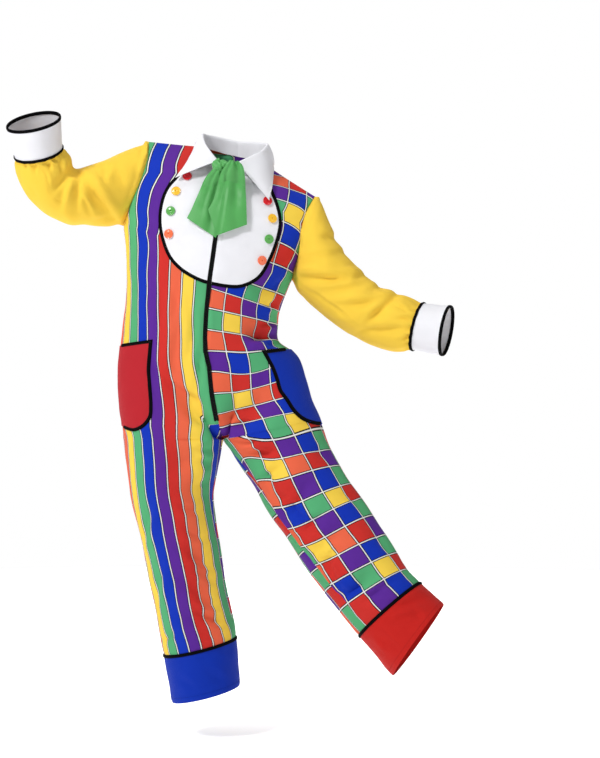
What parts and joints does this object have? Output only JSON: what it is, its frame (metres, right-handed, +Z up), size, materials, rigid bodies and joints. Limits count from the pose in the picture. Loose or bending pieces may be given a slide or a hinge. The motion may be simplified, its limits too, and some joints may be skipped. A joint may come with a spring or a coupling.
{
  "type": "clown jumpsuit",
  "caption": "Hollow one-piece clown suit held in a walking pose, with striped and checked halves, a buttoned bib, a big collar, a tie, patch pockets and a front zip.",
  "frame": {"origin": "centre of the neck opening, between the shoulders that carry the suit", "axes": "+Z up through the neck, -Y the way the wearer faces, +X the wearer's left"},
  "size_m": [1.0987, 0.3559, 1.4675],
  "materials": {
    "stripe_cotton": "printed poly-cotton, vertical rainbow stripes",
    "check_cotton": "printed poly-cotton, multicolour check",
    "white_cotton": "plain poly-cotton",
    "yellow_cotton": "plain poly-cotton",
    "red_cotton": "plain poly-cotton",
    "blue_cotton": "plain poly-cotton",
    "green_satin": "soft satin",
    "black_binding": "folded bias binding",
    "zip_black": "coil teeth on woven tape",
    "black_enamel": "black enamelled zinc",
    "button_red": "polished",
    "button_yellow": "polished",
    "button_green": "polished",
    "button_coral": "polished"
  },
  "bodies": {
    "garment": {"front_right": "stripe_cotton", "back_right": "check_cotton", "sleeve_right": "yellow_cotton", "cuff_right": "white_cotton", "leg_band_right": "blue_cotton", "collar_right": "white_cotton", "bib_right": "white_cotton", "bib_binding_right": "black_binding", "pocket_right": "red_cotton", "pocket_binding_right": "black_binding", "cuff_seam_right": "black_binding", "cuff_rim_right": "black_binding", "leg_binding_right": "black_binding", "tie_tail_right": "green_satin", "front_left": "check_cotton", "back_left": "check_cotton", "sleeve_left": "yellow_cotton", "cuff_left": "white_cotton", "leg_band_left": "red_cotton", "collar_left": "white_cotton", "bib_left": "white_cotton", "bib_binding_left": "black_binding", "pocket_left": "blue_cotton", "pocket_binding_left": "black_binding", "cuff_seam_left": "black_binding", "cuff_rim_left": "black_binding", "leg_binding_left": "black_binding", "tie_tail_left": "green_satin", "zip": "zip_black", "zip_slider": "black_enamel", "tie_strap": "black_binding", "tie_knot": "green_satin", "button_red_right": "button_red", "button_red_left": "button_red", "button_yellow_right": "button_yellow", "button_yellow_left": "button_yellow", "button_green_right": "button_green", "button_green_left": "button_green", "button_coral_right": "button_coral", "button_coral_left": "button_coral"},
    "pull": {"zip_pull": "black_enamel"}
  },
  "joints": [
    {"name": "zip_pull_hinge", "type": "hinge", "parent": "garment", "child": "pull", "pos_m": [-0.01624, -0.09506, -0.04821], "axis": [-0.9911, 0.0584, 0.1193], "range_deg": [0, 90]}
  ]
}
